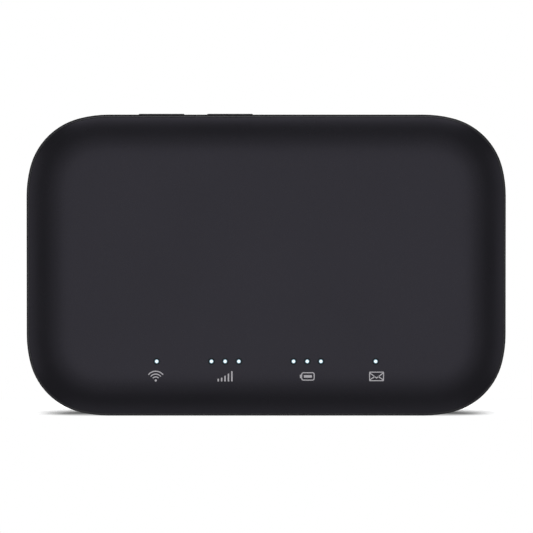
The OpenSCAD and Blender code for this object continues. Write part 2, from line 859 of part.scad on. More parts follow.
module usb_contacts() color(gold_color) stand_up()
    for (side = [-1, 1], i = [0 : pin_count - 1])
        block((i - (pin_count - 1) / 2) * pin_pitch, (usb_front_y + usb_back_y) / 2 - 0.4,
            pin_pitch / 2, 3.2,
            band_mid + side * (tongue_t / 2 + 0.03) - 0.03, band_mid + side * (tongue_t / 2 + 0.03) + 0.03);

// ---- SIM card and its holder ----
base_t = 0.35;
sim_contact_t = 0.05;
sim_play = 0.05;
sheet_t = 0.15;
card_front = board_back - base_t - sim_contact_t - sim_play;
card_back = card_front - sim_t;
holder_w = sim_w - sim_reach;
holder_x = sim_x + 0.3 - holder_w / 2;
holder_h = sim_h + 2 * slip_fit + 2 * sheet_t;
sim_pad_in = 3.4;
sim_col_pitch = 5;
sim_row_pitch = 2.5;
sim_pad_places = [for (col = [0 : 1], row = [-1 : 1])
    [sim_x - sim_pad_in - sim_col_pitch * col, sim_y + sim_row_pitch * row]];

module sim_base() color(chip_color) stand_up()
    block(holder_x - sheet_t / 2, sim_y, holder_w - sheet_t, sim_h + 2 * slip_fit,
        board_back - base_t, board_back);

module sim_contacts() color(gold_color) stand_up()
    for (p = sim_pad_places)
        block(p.x, p.y, 1.2, 1.4, board_back - base_t - sim_contact_t, board_back - base_t);

module sim_holder() color(steel_color) stand_up() {
    back = card_back - sim_play - sheet_t;
    difference() {
        block(holder_x, sim_y, holder_w, holder_h, back, board_back);
        block(holder_x - sheet_t, sim_y, holder_w, sim_h + 2 * slip_fit, back + sheet_t, board_back + 1);
        block(holder_x - holder_w / 2, sim_y, 3, 4, back - 1, back + 1);
        for (x = [-2.5, 2.5])
            block(holder_x + x, sim_y, 1.6, 5, back - 1, back + 1);
    }
}

// Card outline with its one cut corner.
module sim_outline() {
    cut = 1.7;
    polygon([
        [-sim_w, -sim_h / 2], [-cut, -sim_h / 2], [0, -sim_h / 2 + cut],
        [0, sim_h / 2], [-sim_w, sim_h / 2]]);
}

module sim_card() color(pale_color) stand_up()
    difference() {
        translate([sim_x, sim_y, card_back]) linear_extrude(sim_t) sim_outline();
        for (p = sim_pad_places)
            block(p.x, p.y, 2.2, 1.9, card_front - 0.08, card_front + 1);
    }

module sim_card_pads() color(gold_color) stand_up()
    for (p = sim_pad_places)
        block(p.x, p.y, 2.2, 1.9, card_front - 0.08, card_front);

// ---- keys and switches ----
flange_h = 0.8;
flange_gap = 0.1;
flange_w_extra = 2;
key_post_h = 0.3;
switch_out = 0.65;
switch_w = 4.7;
switch_h = 2;
switch_t = 1.65;
plunger_w = 1.9;
plunger_t = 0.9;
plunger_in = 0.3;
plunger_fit = 0.05;
flange_y = half_h - side_wall - flange_gap - flange_h;
plunger_tip = flange_y - key_post_h;
switch_face = plunger_tip - switch_out;
switch_mid = board_back - switch_t / 2;

module key(x) {
    round_in = 0.25;
    top = half_h + key_proud;
    hull() {
        along_y(x, flange_y + flange_h / 2, top - round_in, band_mid) pill(key_w, key_t, $fn = 32);
        along_y(x, top - 0.01, top, band_mid) pill(key_w - 2 * round_in, key_t - 2 * round_in, $fn = 32);
    }
    along_y(x, flange_y, flange_y + flange_h, band_mid)
        square([key_w + flange_w_extra, key_flange_t], center = true);
    block(x, plunger_tip + key_post_h / 2, 2.4, key_post_h, switch_mid - 0.8, switch_mid + 0.8);
}

module plunger(x)
    block(x, (plunger_tip + switch_face - plunger_in) / 2, plunger_w, switch_out + plunger_in,
        switch_mid - plunger_t / 2, switch_mid + plunger_t / 2);

module side_switch(x)
    difference() {
        block(x, switch_face - switch_h / 2, switch_w, switch_h, board_back - switch_t, board_back);
        block(x, switch_face, plunger_w + 2 * plunger_fit, 2 * (plunger_in + key_travel + plunger_fit),
            switch_mid - plunger_t / 2 - plunger_fit, switch_mid + plunger_t / 2 + plunger_fit);
    }

module power_key() color(shell_color) stand_up() key(power_key_x);
module pairing_key() color(shell_color) stand_up() key(pairing_key_x);
module power_plunger() color(pale_color) stand_up() plunger(power_key_x);
module pairing_plunger() color(pale_color) stand_up() plunger(pairing_key_x);
module power_switch() color(steel_color) stand_up() side_switch(power_key_x);
module pairing_switch() color(steel_color) stand_up() side_switch(pairing_key_x);

// ---- reset button, pressed from behind with the back cover off ----
reset_switch_t = 1.4;
reset_out = 0.4;
reset_plunger_r = 0.7;
reset_flange_r = reset_r + 0.5;
reset_flange_t = 0.6;
reset_face = board_back - reset_switch_t;

module reset_switch() color(steel_color) stand_up()
    difference() {
        block(reset_x, reset_y, 3, 3, reset_face, board_back);
        disc(reset_x, reset_y, reset_plunger_r + plunger_fit, reset_face - 1,
            reset_face + plunger_in + key_travel + plunger_fit);
    }

module reset_plunger() color(pale_color) stand_up()
    disc(reset_x, reset_y, reset_plunger_r, reset_face - reset_out, reset_face + plunger_in);

module reset_button() color(shell_color) stand_up() {
    disc(reset_x, reset_y, reset_r, deck_back + 0.2, reset_face - reset_out);
    disc(reset_x, reset_y, reset_flange_r, deck_front + 0.05, deck_front + 0.05 + reset_flange_t);
}

// ---- antennas ----
antenna_gap = 0.6;
antenna_low_gap = 6;
antenna_high_gap = 4;
antenna_y0 = antenna_low_gap - side_screw_y;
antenna_y1 = side_screw_y - antenna_high_gap;
antenna_out = half_w - 2.6;
antenna_in = bay_out_w / 2 + antenna_gap;
foil_t = 0.15;
foil_tab = 5;
wifi_tab = 2.5;
carrier_back = deck_front + 0.1;
carrier_wall = 1;
spring_w = 1.4;
wifi_side = 20;
wifi_x = half_w - wifi_side;
wifi_w = 9;
wifi_out = half_h - 2.6;
wifi_in = bay_out_h / 2 + 0.5;

// Moulded tray, open towards the back, with one rib across it.
module carrier(x, y, w, h) {
    inner_w = w - 2 * carrier_wall;
    inner_h = h - 2 * carrier_wall;
    difference() {
        block(x, y, w, h, carrier_back, board_back);
        block(x, y, inner_w, inner_h, carrier_back - 1, board_back - carrier_wall);
    }
    if (h > w)
        block(x, y, w - carrier_wall, carrier_wall, carrier_back + 0.5, board_back);
    else
        block(x, y, carrier_wall, h - carrier_wall, carrier_back + 0.5, board_back);
}

module side_carrier()
    carrier((antenna_out + antenna_in) / 2, (antenna_y0 + antenna_y1) / 2,
        antenna_out - antenna_in, antenna_y1 - antenna_y0);

module antenna_carrier_right() color(chip_color) stand_up() side_carrier();
module antenna_carrier_left() color(chip_color) stand_up() mirror([1, 0, 0]) side_carrier();

// Foil on the outer face of a carrier, cut into a meander by slots from either edge.
module meander(length, height, pitch) {
    slots = floor(length / pitch) - 1;
    difference() {
        translate([0, -height / 2]) square([length, height]);
        for (i = [1 : slots])
            translate([i * pitch - 0.25, i % 2 == 0 ? -height / 2 - 1 : -height / 2 + 0.8])
                square([0.5, height + 0.2]);
    }
}

module side_foil() {
    mid = (carrier_back + board_back) / 2;
    height = board_back - carrier_back - 0.4;
    along_x(antenna_out, antenna_out + foil_t, antenna_y0, mid)
        meander(antenna_y1 - antenna_y0, height, 3);
    block(antenna_out + foil_t - foil_tab / 2, antenna_y0 - foil_t / 2, foil_tab, foil_t,
        mid - height / 2, mid + height / 2);
}

module antenna_foil_right() color(gold_color) stand_up() side_foil();
module antenna_foil_left() color(gold_color) stand_up() mirror([1, 0, 0]) side_foil();

module wifi_carriers() color(chip_color) stand_up()
    for (side = [-1, 1])
        carrier(side * wifi_x, -(wifi_out + wifi_in) / 2, wifi_w, wifi_out - wifi_in);

module wifi_foils() color(gold_color) stand_up() {
    mid = (carrier_back + board_back) / 2;
    height = board_back - carrier_back - 0.4;
    for (m = [0, 1])
        mirror([m, 0, 0]) {
            translate([wifi_x - wifi_w / 2, -wifi_out - foil_t, mid])
                mirror([0, 1, 0])
                    rotate([90, 0, 0])
                        linear_extrude(foil_t)
                            meander(wifi_w, height, 2.25);
            block(wifi_x - wifi_w / 2 - foil_t / 2, wifi_tab / 2 - wifi_out - foil_t, foil_t, wifi_tab,
                mid - height / 2, mid + height / 2);
        }
}

clip_t = 0.2;
clip_foot = 1.5;
clip_leg = 1.9;
clip_tail = 0.9;

// Spring clip on the board; its upright leg bears on a foil. Drawn in a plane with the
// foil at 0 and the board at its root.
module clip_section() {
    bend = board_back - clip_leg;
    polygon([
        [0, board_back], [-clip_foot, board_back],
        [-clip_foot, board_back - clip_t], [-clip_t, board_back - clip_t],
        [-clip_t, bend + clip_t], [-clip_tail, bend - clip_t / 2],
        [clip_t / 2 - clip_tail, bend - 1.5 * clip_t], [0, bend]]);
}

module antenna_springs() color(gold_color) stand_up()
    for (m = [0, 1])
        mirror([m, 0, 0]) {
            along_x(side_screw_x, side_screw_x + spring_w, antenna_y0 - foil_t, 0) clip_section();
            along_y(wifi_x - wifi_w / 2 - foil_t, -wifi_out + 0.2, -wifi_out + 0.2 + spring_w, 0) clip_section();
        }

// ---- screws ----
cross_w = 0.35;

module screw(x, y, seat, r, length, head, head_t)
    difference() {
        union() {
            disc(x, y, head, seat - head_t, seat);
            disc(x, y, r, seat - 0.1, seat + length);
        }
        block(x, y, 1.2 * head, cross_w, seat - head_t - 1, seat - head_t / 2);
        block(x, y, cross_w, 1.2 * head, seat - head_t - 1, seat - head_t / 2);
    }

module housing_screws() color(steel_color) stand_up()
    for (p = housing_screw_places)
        screw(p.x, p.y, deck_front, screw_r, screw_l, head_r, head_h);

module board_screws() color(steel_color) stand_up()
    for (p = board_screw_places)
        screw(p.x, p.y, board_back, board_screw_r, board_t + front_room - 0.5, 1.25, 0.7);

front_cover();
rear_housing();
back_cover();
cover_foam();
battery_cell();
battery_cap();
battery_pads();
battery_connector();
battery_blades();
main_board();
indicator_leds();
light_baffle();
light_guide();
baseband_shield();
rf_shield();
wifi_shield();
charger_shield();
baseband_chip();
memory_chip();
power_chip();
rf_chips();
wifi_chip();
charger_chip();
inductors();
capacitors();
thermal_pads();
graphite_sheet();
usb_shell();
usb_tongue();
usb_contacts();
sim_base();
sim_holder();
sim_contacts();
sim_card();
sim_card_pads();
power_key();
pairing_key();
power_plunger();
pairing_plunger();
power_switch();
pairing_switch();
reset_button();
reset_plunger();
reset_switch();
antenna_carrier_left();
antenna_carrier_right();
antenna_foil_left();
antenna_foil_right();
wifi_carriers();
wifi_foils();
antenna_springs();
housing_screws();
board_screws();
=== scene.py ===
import json
import math

import bmesh
import bpy
from mathutils import Matrix, Vector


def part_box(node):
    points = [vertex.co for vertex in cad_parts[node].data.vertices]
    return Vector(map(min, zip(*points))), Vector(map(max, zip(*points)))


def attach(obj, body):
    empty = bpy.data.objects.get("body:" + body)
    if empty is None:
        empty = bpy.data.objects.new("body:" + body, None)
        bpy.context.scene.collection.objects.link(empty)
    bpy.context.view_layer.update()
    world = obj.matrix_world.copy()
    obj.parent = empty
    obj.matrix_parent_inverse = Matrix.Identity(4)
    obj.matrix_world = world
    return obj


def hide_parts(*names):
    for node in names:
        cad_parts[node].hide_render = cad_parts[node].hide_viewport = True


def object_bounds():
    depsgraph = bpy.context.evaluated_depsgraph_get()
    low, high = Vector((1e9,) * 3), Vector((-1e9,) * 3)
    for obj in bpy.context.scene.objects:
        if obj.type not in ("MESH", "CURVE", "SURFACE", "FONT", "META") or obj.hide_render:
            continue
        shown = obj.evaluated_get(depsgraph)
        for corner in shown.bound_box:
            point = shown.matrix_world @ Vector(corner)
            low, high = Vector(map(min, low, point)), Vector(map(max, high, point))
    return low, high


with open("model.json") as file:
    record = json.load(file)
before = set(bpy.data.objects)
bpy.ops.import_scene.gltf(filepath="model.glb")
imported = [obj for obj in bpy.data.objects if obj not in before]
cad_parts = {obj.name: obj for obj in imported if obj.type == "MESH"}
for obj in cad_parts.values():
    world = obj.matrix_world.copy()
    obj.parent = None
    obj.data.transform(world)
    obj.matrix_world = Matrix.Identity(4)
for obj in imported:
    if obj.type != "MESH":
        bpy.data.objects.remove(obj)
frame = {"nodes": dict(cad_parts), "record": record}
cad_low, cad_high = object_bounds()
nodes = frame["nodes"]
MM = 0.001
TINY = 0.001 * MM
RIGHT_ANGLE = math.pi / 2


# ---------------------------------------------------------------- places taken from the CAD model
def verts(node):
    return [v.co for v in nodes[node].data.vertices]


def centre(node):
    low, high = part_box(node)
    return (low + high) / 2


def clusters(values, gap):
    """Middles of the groups that values fall into."""
    groups = []
    for v in sorted(values):
        if groups and v - groups[-1][-1] < gap:
            groups[-1].append(v)
        else:
            groups.append([v])
    return [(g[0] + g[-1]) / 2 for g in groups]


# The side band of the housing is the widest and highest part, and lies between the two seams.
housing_low, housing_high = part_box("rear_housing")
HALF_W = (housing_high.x - housing_low.x) / 2
HALF_H = (housing_high.z - housing_low.z) / 2
MID_Z = (housing_high.z + housing_low.z) / 2
MIDDLE = Vector((0, 0, MID_Z))
FRONT, BACK = cad_low.y, cad_high.y
band_y = [v.y for v in verts("rear_housing") if v.x > housing_high.x - TINY]
FRONT_SEAM, BACK_SEAM = min(band_y), max(band_y)
FRONT_DEPTH, BACK_DEPTH = FRONT_SEAM - FRONT, BACK - BACK_SEAM

led_sides = clusters([v.x for v in verts("indicator_leds")], gap=0.1 * MM)
LIGHT_X = [(a + b) / 2 for a, b in zip(led_sides[::2], led_sides[1::2])]
LIGHT_Z = centre("indicator_leds").z

# The outline and crown of the solids. A corner is an arc of IN_R between two of OUT_R, which turn by
# TURN each. The middle of IN_R is CORNER_C in from both sides, and the corner takes CORNER_E of each.
OUT_R, IN_R, TURN = 26 * MM, 15.25 * MM, math.radians(14)
CORNER_C = OUT_R - (OUT_R - IN_R) * math.cos(TURN)
CORNER_E = CORNER_C + (OUT_R - IN_R) * math.sin(TURN)
CROWN_INSET, EDGE_TURN = 11 * MM, math.radians(65)
FRONT_WALL, COVER_WALL = 1.5 * MM, 1.2 * MM


def crown_r(depth):
    """Radius of the crown, which flattens into the face at CROWN_INSET."""
    s, c = math.sin(EDGE_TURN), math.cos(EDGE_TURN)
    return (CROWN_INSET * s - depth * (1 - c)) / (c * s - (1 - s) * (1 - c))


def edge_r(depth):
    """Radius of the edge, which turns from the seam into the crown."""
    return (depth - crown_r(depth) * (1 - math.sin(EDGE_TURN))) / math.sin(EDGE_TURN)


# ---------------------------------------------------------------- mesh helpers
SHARP = math.radians(30)
SIDE_STEPS, CORNER_STEPS, STRAIGHT_STEP = 5, 20, 9 * MM
CIRCLE_STEPS = 28
SEAM_STEPS, EDGE_STEPS, CROWN_STEPS, INNER_STEPS = 5, 12, 16, 8
EDGE_START = math.radians(8)  # the seam's rounding takes the place of the edge up to here


def link(obj):
    bpy.context.scene.collection.objects.link(obj)
    return obj


def mesh_object(name, bm, material):
    """Turns a bmesh into an object with smooth faces and sharp edges."""
    bmesh.ops.recalc_face_normals(bm, faces=bm.faces)
    mesh = bpy.data.meshes.new(name)
    bm.to_mesh(mesh)
    bm.free()
    for p in mesh.polygons:
        p.use_smooth = True
    mesh.set_sharp_from_angle(angle=SHARP)
    mesh.materials.append(material)
    return link(bpy.data.objects.new(name, mesh))


def piece(name, bm, body, material):
    """Piece of the object that rides on a body, in the given material."""
    obj = mesh_object(name, bm, material)
    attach(obj, body)
    return obj


# The corners of a rectangle, anticlockwise: their sides of the middle, and the angle each begins at.
CORNERS = ((1, -1, -RIGHT_ANGLE), (1, 1, 0), (-1, 1, RIGHT_ANGLE), (-1, -1, math.pi))


def spaced(start, end, steps):
    return [start + (end - start) * i / steps for i in range(steps + 1)]


def on_circle(cx, cy, r, a):
    return cx + r * math.cos(a), cy + r * math.sin(a)


def straight(p, q):
    """Points between two outline points, without its ends."""
    length = math.hypot(q[0] - p[0], q[1] - p[1])
    n = max(1, round(length / STRAIGHT_STEP))
    return [tuple(p[k] + (q[k] - p[k]) * i / n for k in range(4)) for i in range(1, n)]


def body_outline():
    """Points of the outline with their outward normals, anticlockwise seen from the front."""
    quarter = []
    for (cx, cz), r, a0, a1, steps in (
        ((HALF_W - OUT_R, HALF_H - CORNER_E), OUT_R, 0, TURN, SIDE_STEPS),
        ((HALF_W - CORNER_C, HALF_H - CORNER_C), IN_R, TURN, RIGHT_ANGLE - TURN, CORNER_STEPS),
        ((HALF_W - CORNER_E, HALF_H - OUT_R), OUT_R, RIGHT_ANGLE - TURN, RIGHT_ANGLE, SIDE_STEPS),
    ):
        turns = spaced(a0, a1, steps)
        for a in turns[1:] if quarter else turns:
            quarter.append((*on_circle(cx, cz, r, a), math.cos(a), math.sin(a)))
    loop = []
    for k, (sx, sz) in enumerate(((1, 1), (-1, 1), (-1, -1), (1, -1))):
        part = [(sx * x, sz * z, sx * nx, sz * nz) for x, z, nx, nz in quarter]
        if k % 2:
            part.reverse()
        if loop:
            loop += straight(loop[-1], part[0])
        loop += part
    return loop + straight(loop[-1], loop[0])


OUTLINE = body_outline()


def add_loop(bm, points):
    return [bm.verts.new(p) for p in points]


def outline_loop(bm, inset, y):
    return add_loop(bm, [(x - inset * nx, y, MID_Z + z - inset * nz) for x, z, nx, nz in OUTLINE])


def circle_loop(bm, x, y, z, r):
    circle = [on_circle(x, z, r, a) for a in spaced(0, 2 * math.pi, CIRCLE_STEPS)[:-1]]
    return add_loop(bm, [(cx, y, cz) for cx, cz in circle])


def skin(bm, *loops):
    """Faces between each loop and the next."""
    for a, b in zip(loops, loops[1:]):
        for i in range(len(a)):
            j = (i + 1) % len(a)
            bm.faces.new((a[i], a[j], b[j], b[i]))


def fill(bm, *loops):
    """Triangles inside the first loop and outside the others."""
    edges = []
    for loop in loops:
        for ends in zip(loop, loop[1:] + loop[:1]):
            edges.append(bm.edges.get(ends) or bm.edges.new(ends))
    bmesh.ops.triangle_fill(bm, use_beauty=True, use_dissolve=False, edges=edges)


def bevelled_box(bm, low, high, bevel):
    made = bmesh.ops.create_cube(bm, size=1.0)["verts"]
    for v in made:
        v.co = Vector([(high[k] + low[k]) / 2 + v.co[k] * (high[k] - low[k]) for k in range(3)])
    edges = list({e for v in made for e in v.link_edges})
    bmesh.ops.bevel(bm, geom=edges, offset=bevel, segments=2, profile=0.5, affect="EDGES")


def crown_stations(depth, ease, seam_round):
    """(inset, height above the seam) from the seam to the flat of the face.

    At the seam the edge is drawn in by ease, which fades over the edge, and rounded by seam_round.
    """
    er, cr = edge_r(depth), crown_r(depth)
    first_inset = er * (1 - math.cos(EDGE_START)) + ease * math.cos(EDGE_START)
    first_h = (er - ease) * math.sin(EDGE_START)
    out = []
    for a in spaced(0, RIGHT_ANGLE, SEAM_STEPS)[:-1]:
        out.append((first_inset + seam_round * (1 - math.sin(a)), first_h * (1 - math.cos(a))))
    for a in spaced(EDGE_START, EDGE_TURN, EDGE_STEPS):
        d = ease * (1 - (a - EDGE_START) / (EDGE_TURN - EDGE_START)) ** 2
        out.append((er * (1 - math.cos(a)) + d * math.cos(a), (er - d) * math.sin(a)))
    for a in spaced(EDGE_TURN, RIGHT_ANGLE, CROWN_STEPS)[1:]:
        out.append((CROWN_INSET - cr * math.cos(a), depth - cr * (1 - math.sin(a))))
    return out


def inner_stations(depth, wall, start):
    """The same for the inside of a wall, from the crown's angle start to the flat."""
    r = crown_r(depth) - wall
    return [(CROWN_INSET - r * math.cos(a), depth - crown_r(depth) + r * math.sin(a))
            for a in spaced(start, RIGHT_ANGLE, INNER_STEPS)]


# ---------------------------------------------------------------- material helpers
# Noise scales are in cells per metre, and most values of a noise lie in MIDDLING.
MIDDLING = (0.3, 0.7)
DIAMOND = 0.62 * MM  # length of the waves that cross to make the shells' texture
# Between these values of Layer Weight's Facing, the shells' roughness rises by GLANCING_ROUGH.
GLANCING, GLANCING_ROUGH = (0.3, 0.65), 0.6


def new_material(name):
    mat = bpy.data.materials.new(name)
    mat.use_nodes = True
    tree = mat.node_tree
    bsdf = next(n for n in tree.nodes if n.type == "BSDF_PRINCIPLED")
    coord = tree.nodes.new("ShaderNodeTexCoord")
    return mat, tree, bsdf, coord.outputs["Object"]


def set_values(node, **values):
    for key, value in values.items():
        node.inputs[key.replace("_", " ")].default_value = value


def noise(tree, coord, scale, detail):
    n = tree.nodes.new("ShaderNodeTexNoise")
    set_values(n, Scale=scale, Detail=detail)
    tree.links.new(coord, n.inputs["Vector"])
    return n.outputs["Fac"]


def ramp(tree, fac, stops):
    n = tree.nodes.new("ShaderNodeValToRGB")
    elements = n.color_ramp.elements
    while len(elements) < len(stops):
        elements.new(0.5)
    for e, (position, colour) in zip(elements, stops):
        e.position = position
        e.color = (*colour, 1)
    tree.links.new(fac, n.inputs["Fac"])
    return n.outputs["Color"]


def remap(tree, fac, low, high, from_low, from_high):
    n = tree.nodes.new("ShaderNodeMapRange")
    set_values(n, From_Min=from_low, From_Max=from_high, To_Min=low, To_Max=high)
    tree.links.new(fac, n.inputs["Value"])
    return n.outputs["Result"]


def math_node(tree, operation, *values):
    n = tree.nodes.new("ShaderNodeMath")
    n.operation = operation
    for socket, value in zip(n.inputs, values):
        if isinstance(value, (int, float)):
            socket.default_value = value
        else:
            tree.links.new(value, socket)
    return n.outputs[0]


def bump(tree, bsdf, height, distance):
    n = tree.nodes.new("ShaderNodeBump")
    set_values(n, Strength=1.0, Distance=distance)
    tree.links.new(height, n.inputs["Height"])
    tree.links.new(n.outputs["Normal"], bsdf.inputs["Normal"])


def scaled(colour, k):
    return tuple(min(1.0, c * k) for c in colour)


def srgb(*values):
    """Linear colour of 8-bit sRGB values."""
    return tuple(((v / 255 + 0.055) / 1.055) ** 2.4 if v > 10.3 else v / 255 / 12.92 for v in values)


def mottled(tree, fac, colour, vary):
    return ramp(tree, fac, [(at, scaled(colour, k)) for at, k in zip(MIDDLING, (1 - vary, 1 + vary))])


def plastic(name, colour, rough, level, grain=2600, depth=0.004 * MM, vary=0.06, **more):
    """Moulded plastic: slightly mottled colour, uneven gloss, spark-eroded grain."""
    mat, tree, bsdf, coord = new_material(name)
    wide = noise(tree, coord, 60, 2)
    fine = noise(tree, coord, grain, 2)
    tree.links.new(mottled(tree, wide, colour, vary), bsdf.inputs["Base Color"])
    tree.links.new(remap(tree, wide, rough - 0.03, rough + 0.03, *MIDDLING), bsdf.inputs["Roughness"])
    bump(tree, bsdf, fine, depth)
    set_values(bsdf, Specular_IOR_Level=level, **more)
    return mat


def duller_at_edges(tree, rough):
    """A fine texture hides the gloss at a glancing view, so roughness rises there."""
    weight = tree.nodes.new("ShaderNodeLayerWeight")
    more = remap(tree, weight.outputs["Facing"], 0, GLANCING_ROUGH, *GLANCING)
    return math_node(tree, "ADD", rough, more)


def diamond_shell(name, colour, rough, level, tint):
    """Matte shell plastic with a very fine engraved diamond texture."""
    mat, tree, bsdf, coord = new_material(name)
    axes = tree.nodes.new("ShaderNodeSeparateXYZ")
    tree.links.new(coord, axes.inputs[0])
    waves = []
    for operation in ("ADD", "SUBTRACT"):
        slant = math_node(tree, operation, axes.outputs["X"], axes.outputs["Z"])
        waves.append(math_node(tree, "SINE", math_node(tree, "MULTIPLY", slant, 2 * math.pi / DIAMOND)))
    diamonds = math_node(tree, "MULTIPLY", *waves)
    fine = noise(tree, coord, 3200, 3)
    wide = noise(tree, coord, 42, 3)
    mid = noise(tree, coord, 700, 2)
    tree.links.new(mottled(tree, mid, colour, 0.07), bsdf.inputs["Base Color"])
    gloss = remap(tree, wide, rough - 0.025, rough + 0.025, *MIDDLING)
    tree.links.new(duller_at_edges(tree, gloss), bsdf.inputs["Roughness"])
    height = math_node(tree, "ADD", math_node(tree, "MULTIPLY", diamonds, 0.35), fine)
    bump(tree, bsdf, height, 0.0025 * MM)
    set_values(bsdf, Specular_IOR_Level=level, Specular_Tint=(*tint, 1))
    return mat


def metal(name, colour, rough, brushed=True, vary=0.08):
    mat, tree, bsdf, coord = new_material(name)
    if brushed:
        stretch = tree.nodes.new("ShaderNodeMapping")
        stretch.inputs["Scale"].default_value = (1, 1, 14)
        tree.links.new(coord, stretch.inputs["Vector"])
        lines = noise(tree, stretch.outputs[0], 900, 3)
    else:
        lines = noise(tree, coord, 1500, 3)
    wide = noise(tree, coord, 120, 2)
    tree.links.new(mottled(tree, wide, colour, vary), bsdf.inputs["Base Color"])
    tree.links.new(remap(tree, lines, rough - 0.06, rough + 0.08, *MIDDLING), bsdf.inputs["Roughness"])
    bump(tree, bsdf, lines, 0.002 * MM)
    set_values(bsdf, Metallic=1.0)
    return mat


# ---------------------------------------------------------------- camera
# A long lens, because the photograph shows hardly any perspective. FRAME_W is the view's width at AIM.
FRAME_W, LENS, SENSOR, CLIP = 119.38 * MM, 400.0, 36.0, (0.05, 40)
ELEVATION = math.radians(1.9)
AIM = Vector((0.07 * MM, 0.0, MID_Z - 0.39 * MM))

scene = bpy.context.scene
scene.view_settings.view_transform = "Standard"


def turn_to(obj, place, target):
    obj.location = place
    obj.rotation_mode = "QUATERNION"
    obj.rotation_quaternion = (target - place).to_track_quat("-Z", "Y")


def make_camera():
    data = bpy.data.cameras.new("camera")
    data.lens = LENS
    data.sensor_width = SENSOR
    data.clip_start, data.clip_end = CLIP
    camera = link(bpy.data.objects.new("camera", data))
    away = FRAME_W * LENS / SENSOR
    turn_to(camera, AIM + Vector((0, -away * math.cos(ELEVATION), away * math.sin(ELEVATION))), AIM)
    scene.camera = camera


make_camera()

# ---------------------------------------------------------------- studio
# Name, distance, width and radiance of the round softboxes, one behind the other.
SOFTBOXES = (("middle", 2.4, 1.7, 1.9), ("rim", 2.45, 2.95, 1.32))
# Name, side and radiance of the strips, which stand STRIP_TURN off the front or the back.
STRIPS = (("top", (0, 1), 3.9), ("left", (-1, 0), 1.95), ("right", (1, 0), 1.8), ("low", (0, -1), 1.2))
STRIP_TURN, STRIP_HALF, STRIP_AWAY, STRIP_LENGTH = math.radians(61), math.radians(14), 1.5, 1.25
# Colour and strength of the light from all sides, and of the background as it is seen.
AIR, BACKGROUND = ((0.96, 0.97, 1.0, 1), 0.06), ((1, 1, 1, 1), 1.0)


def softbox(name, shape, place, width, height, radiance):
    data = bpy.data.lights.new(name, "AREA")
    data.shape = shape
    data.size = width
    data.size_y = height
    area = width * height * (math.pi / 4 if shape == "DISK" else 1)
    data.energy = radiance * area * math.pi
    lamp = link(bpy.data.objects.new(name, data))
    turn_to(lamp, place, MIDDLE)
    lamp.visible_camera = False


def make_lamps():
    """Round softboxes before and behind the object, brighter in their middle, with strips around."""
    for sign, name in ((-1, "front"), (1, "back")):
        for part, away, width, radiance in SOFTBOXES:
            place = MIDDLE + Vector((0, sign * away, 0))
            softbox(f"softbox_{name}_{part}", "DISK", place, width, width, radiance)
        for side, (x, z), radiance in STRIPS:
            out = math.sin(STRIP_TURN)
            away = Vector((x * out, sign * math.cos(STRIP_TURN), z * out)) * STRIP_AWAY
            across = 2 * STRIP_AWAY * math.tan(STRIP_HALF)
            size = (across, STRIP_LENGTH) if x else (STRIP_LENGTH, across)
            softbox(f"strip_{name}_{side}", "RECTANGLE", MIDDLE + away, *size, radiance)


make_lamps()


def seen_directly(tree):
    """1 for the rays that show the background: from the camera, and off gloss or through glass."""
    path = tree.nodes.new("ShaderNodeLightPath")
    seen = path.outputs["Is Camera Ray"]
    for ray in ("Is Glossy Ray", "Is Transmission Ray"):
        seen = math_node(tree, "MAXIMUM", seen, path.outputs[ray])
    return seen


def make_world():
    """Weak cool light from all sides, and a white background."""
    world = bpy.data.worlds.new("studio")
    scene.world = world
    world.use_nodes = True
    tree = world.node_tree
    tree.nodes.clear()
    out = tree.nodes.new("ShaderNodeOutputWorld")
    mix = tree.nodes.new("ShaderNodeMixShader")
    tree.links.new(seen_directly(tree), mix.inputs["Fac"])
    for i, (colour, strength) in enumerate((AIR, BACKGROUND), 1):
        background = tree.nodes.new("ShaderNodeBackground")
        set_values(background, Color=colour, Strength=strength)
        tree.links.new(background.outputs[0], mix.inputs[i])
    tree.links.new(mix.outputs[0], out.inputs["Surface"])


make_world()

# ---------------------------------------------------------------- floor
FLOOR_RINGS, FLOOR_STEPS, FLOOR_DROP = (0.05, 0.15, 0.4, 1.0), 96, 0.05 * MM
# Painted shadow: how open the floor is within SHADOW_REACH, on the side that FLOOR_LIGHT leans to, gives its
# grey.
FLOOR_LIGHT, SHADOW_REACH, SHADOW_LIFT = math.radians(62), 26 * MM, 0.6
SHADOW_GREYS = ((0.4, 0.08), (0.5, 0.12), (0.56, 0.26), (0.63, 0.5),
                (0.7, 0.72), (0.78, 0.87), (0.9, 0.96), (1.0, 1.0))
# Going back, the shadow fades in between the first two places in Y and out between the others.
SHADOW_START, SHADOW_END = (-7 * MM, 6 * MM), (20 * MM, 60 * MM)


def shadow_tone(tree):
    """Painted shadow: grey of the floor, darker in corners and gaps near the object."""
    towards = tree.nodes.new("ShaderNodeCombineXYZ")
    set_values(towards, Y=-math.sin(FLOOR_LIGHT), Z=math.cos(FLOOR_LIGHT))
    shelter = tree.nodes.new("ShaderNodeAmbientOcclusion")
    shelter.samples = 64
    set_values(shelter, Distance=SHADOW_REACH)
    tree.links.new(towards.outputs[0], shelter.inputs["Normal"])
    return ramp(tree, shelter.outputs["AO"], [(at, (grey, grey, grey)) for at, grey in SHADOW_GREYS])


def mix_shaders(tree, fac, first, second):
    mix = tree.nodes.new("ShaderNodeMixShader")
    tree.links.new(fac, mix.inputs["Fac"])
    tree.links.new(first.outputs[0], mix.inputs[1])
    tree.links.new(second.outputs[0], mix.inputs[2])
    return mix


